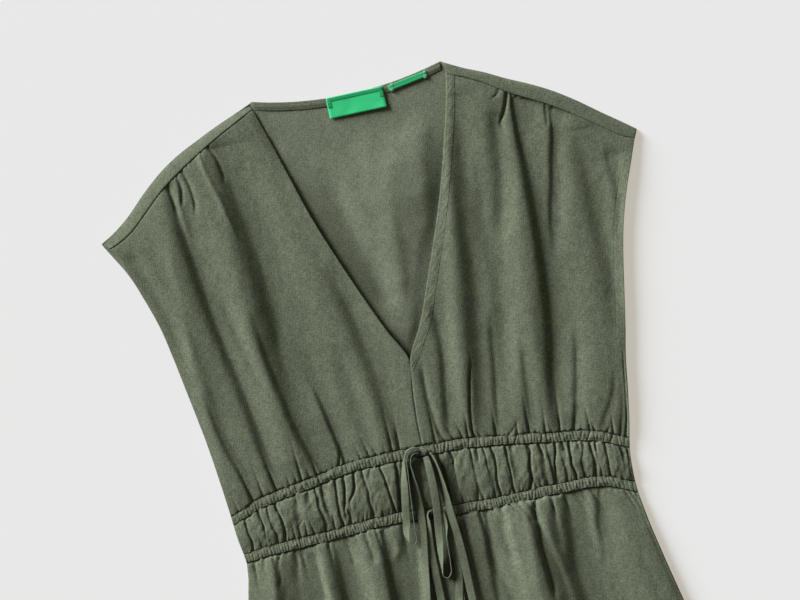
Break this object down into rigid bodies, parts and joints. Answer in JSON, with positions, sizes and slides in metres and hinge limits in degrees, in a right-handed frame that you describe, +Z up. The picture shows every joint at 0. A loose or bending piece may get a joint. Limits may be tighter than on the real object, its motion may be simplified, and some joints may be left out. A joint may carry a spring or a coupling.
{
  "type": "a-line dress",
  "caption": "Sleeveless V-neck a-line dress in gathered linen with a double drawstring waist and tied bows, laid flat on its back.",
  "frame": {"origin": "middle of the dress's outline on the surface that it lies on", "axes": "+Y from the hem to the neck, +X to the wearer's left, +Z up from the surface to the front of the dress"},
  "size_m": [0.6108, 1.0099, 0.0193],
  "materials": {
    "linen": "matt heathered plain-weave linen, olive grey",
    "linen_trim": "matt linen, gathered or topstitched strips",
    "tie_tape": "narrow folded linen tape with one row of stitches",
    "label": "satin woven label, emerald green, bare",
    "tag": "satin woven strip, darker green, bare"
  },
  "bodies": {
    "root": {"bodice_front_left": "linen", "bodice_front_right": "linen", "bodice_back": "linen", "shoulder_yoke_left": "linen", "shoulder_yoke_right": "linen", "waist_front": "linen", "waist_back": "linen", "skirt_front": "linen", "skirt_back": "linen", "neck_band_left": "linen_trim", "neck_band_right": "linen_trim", "back_neck_binding": "linen_trim", "casing_upper_front": "linen_trim", "casing_upper_back": "linen_trim", "casing_lower_front": "linen_trim", "casing_lower_back": "linen_trim", "knot_upper": "tie_tape", "knot_lower": "tie_tape", "loop_upper_left": "tie_tape", "loop_upper_right": "tie_tape", "loop_lower_left": "tie_tape", "loop_lower_right": "tie_tape", "tail_upper_left": "tie_tape", "tail_upper_right": "tie_tape", "tail_lower_left": "tie_tape", "tail_lower_right": "tie_tape", "label_neck": "label", "label_fabric": "tag"}
  },
  "joints": []
}
